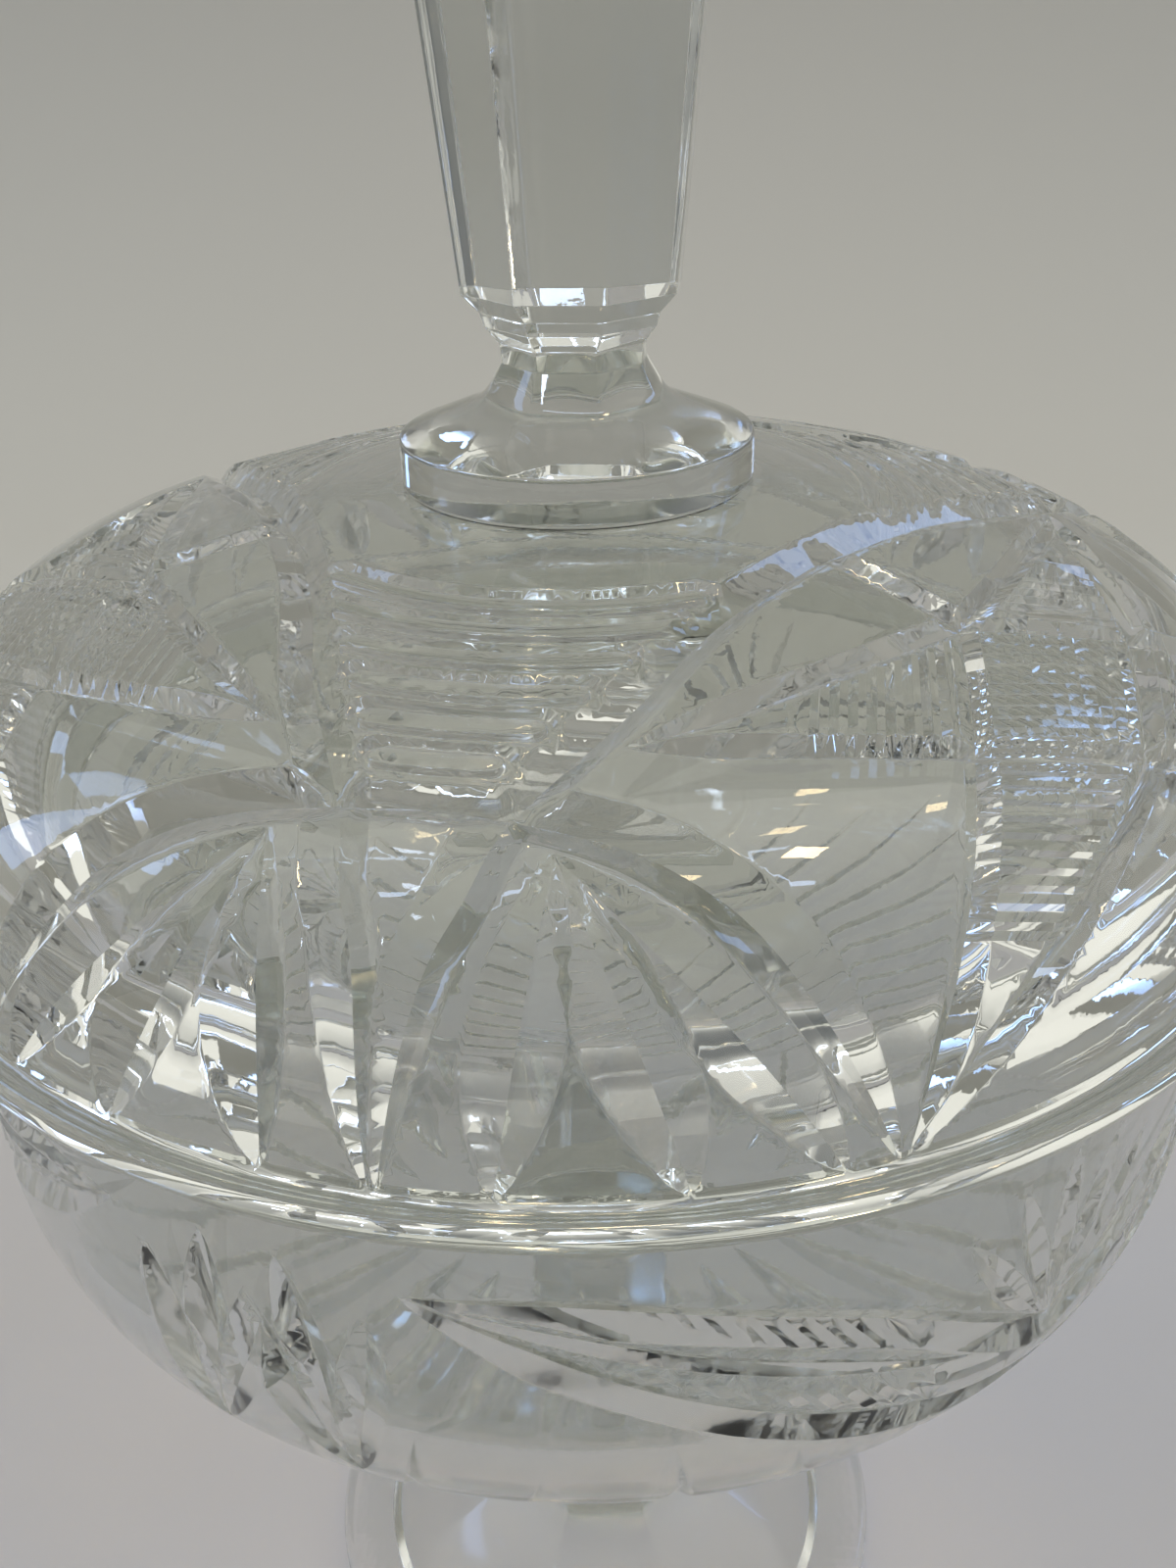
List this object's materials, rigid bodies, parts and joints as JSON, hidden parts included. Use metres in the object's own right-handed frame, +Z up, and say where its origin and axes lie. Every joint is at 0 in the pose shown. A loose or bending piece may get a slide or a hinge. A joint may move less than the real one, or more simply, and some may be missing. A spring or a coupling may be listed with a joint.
{
  "type": "footed powder jar",
  "caption": "Clear cut-glass jar: a round bowl on a tall faceted pedestal with a round foot, and a lift-off domed lid with a tall eight-sided finial.",
  "frame": {"origin": "centre of the face the foot stands on", "axes": "+Z up the jar's axis, from the foot towards the finial; -Y is the front; the jar is round, so X and Y are free apart from the finial's facets"},
  "size_m": [0.156, 0.156, 0.2449],
  "materials": {
    "bowl_glass": "fire-polished and cut clear crystal",
    "pedestal_glass": "fire-polished and cut clear crystal",
    "lid_glass": "fire-polished and cut clear crystal",
    "finial_glass": "fire-polished and cut clear crystal",
    "bond_film": "thin clear cured adhesive"
  },
  "bodies": {
    "bowl_and_pedestal": {"bowl": "bowl_glass", "pedestal": "pedestal_glass", "pedestal_bond": "bond_film"},
    "lid_and_finial": {"lid": "lid_glass", "finial": "finial_glass", "finial_bond": "bond_film"}
  },
  "joints": [
    {"name": "lid_lift", "type": "slide", "parent": "bowl_and_pedestal", "child": "lid_and_finial", "axis": [0, 0, 1], "range_m": [0, 0.15]}
  ]
}
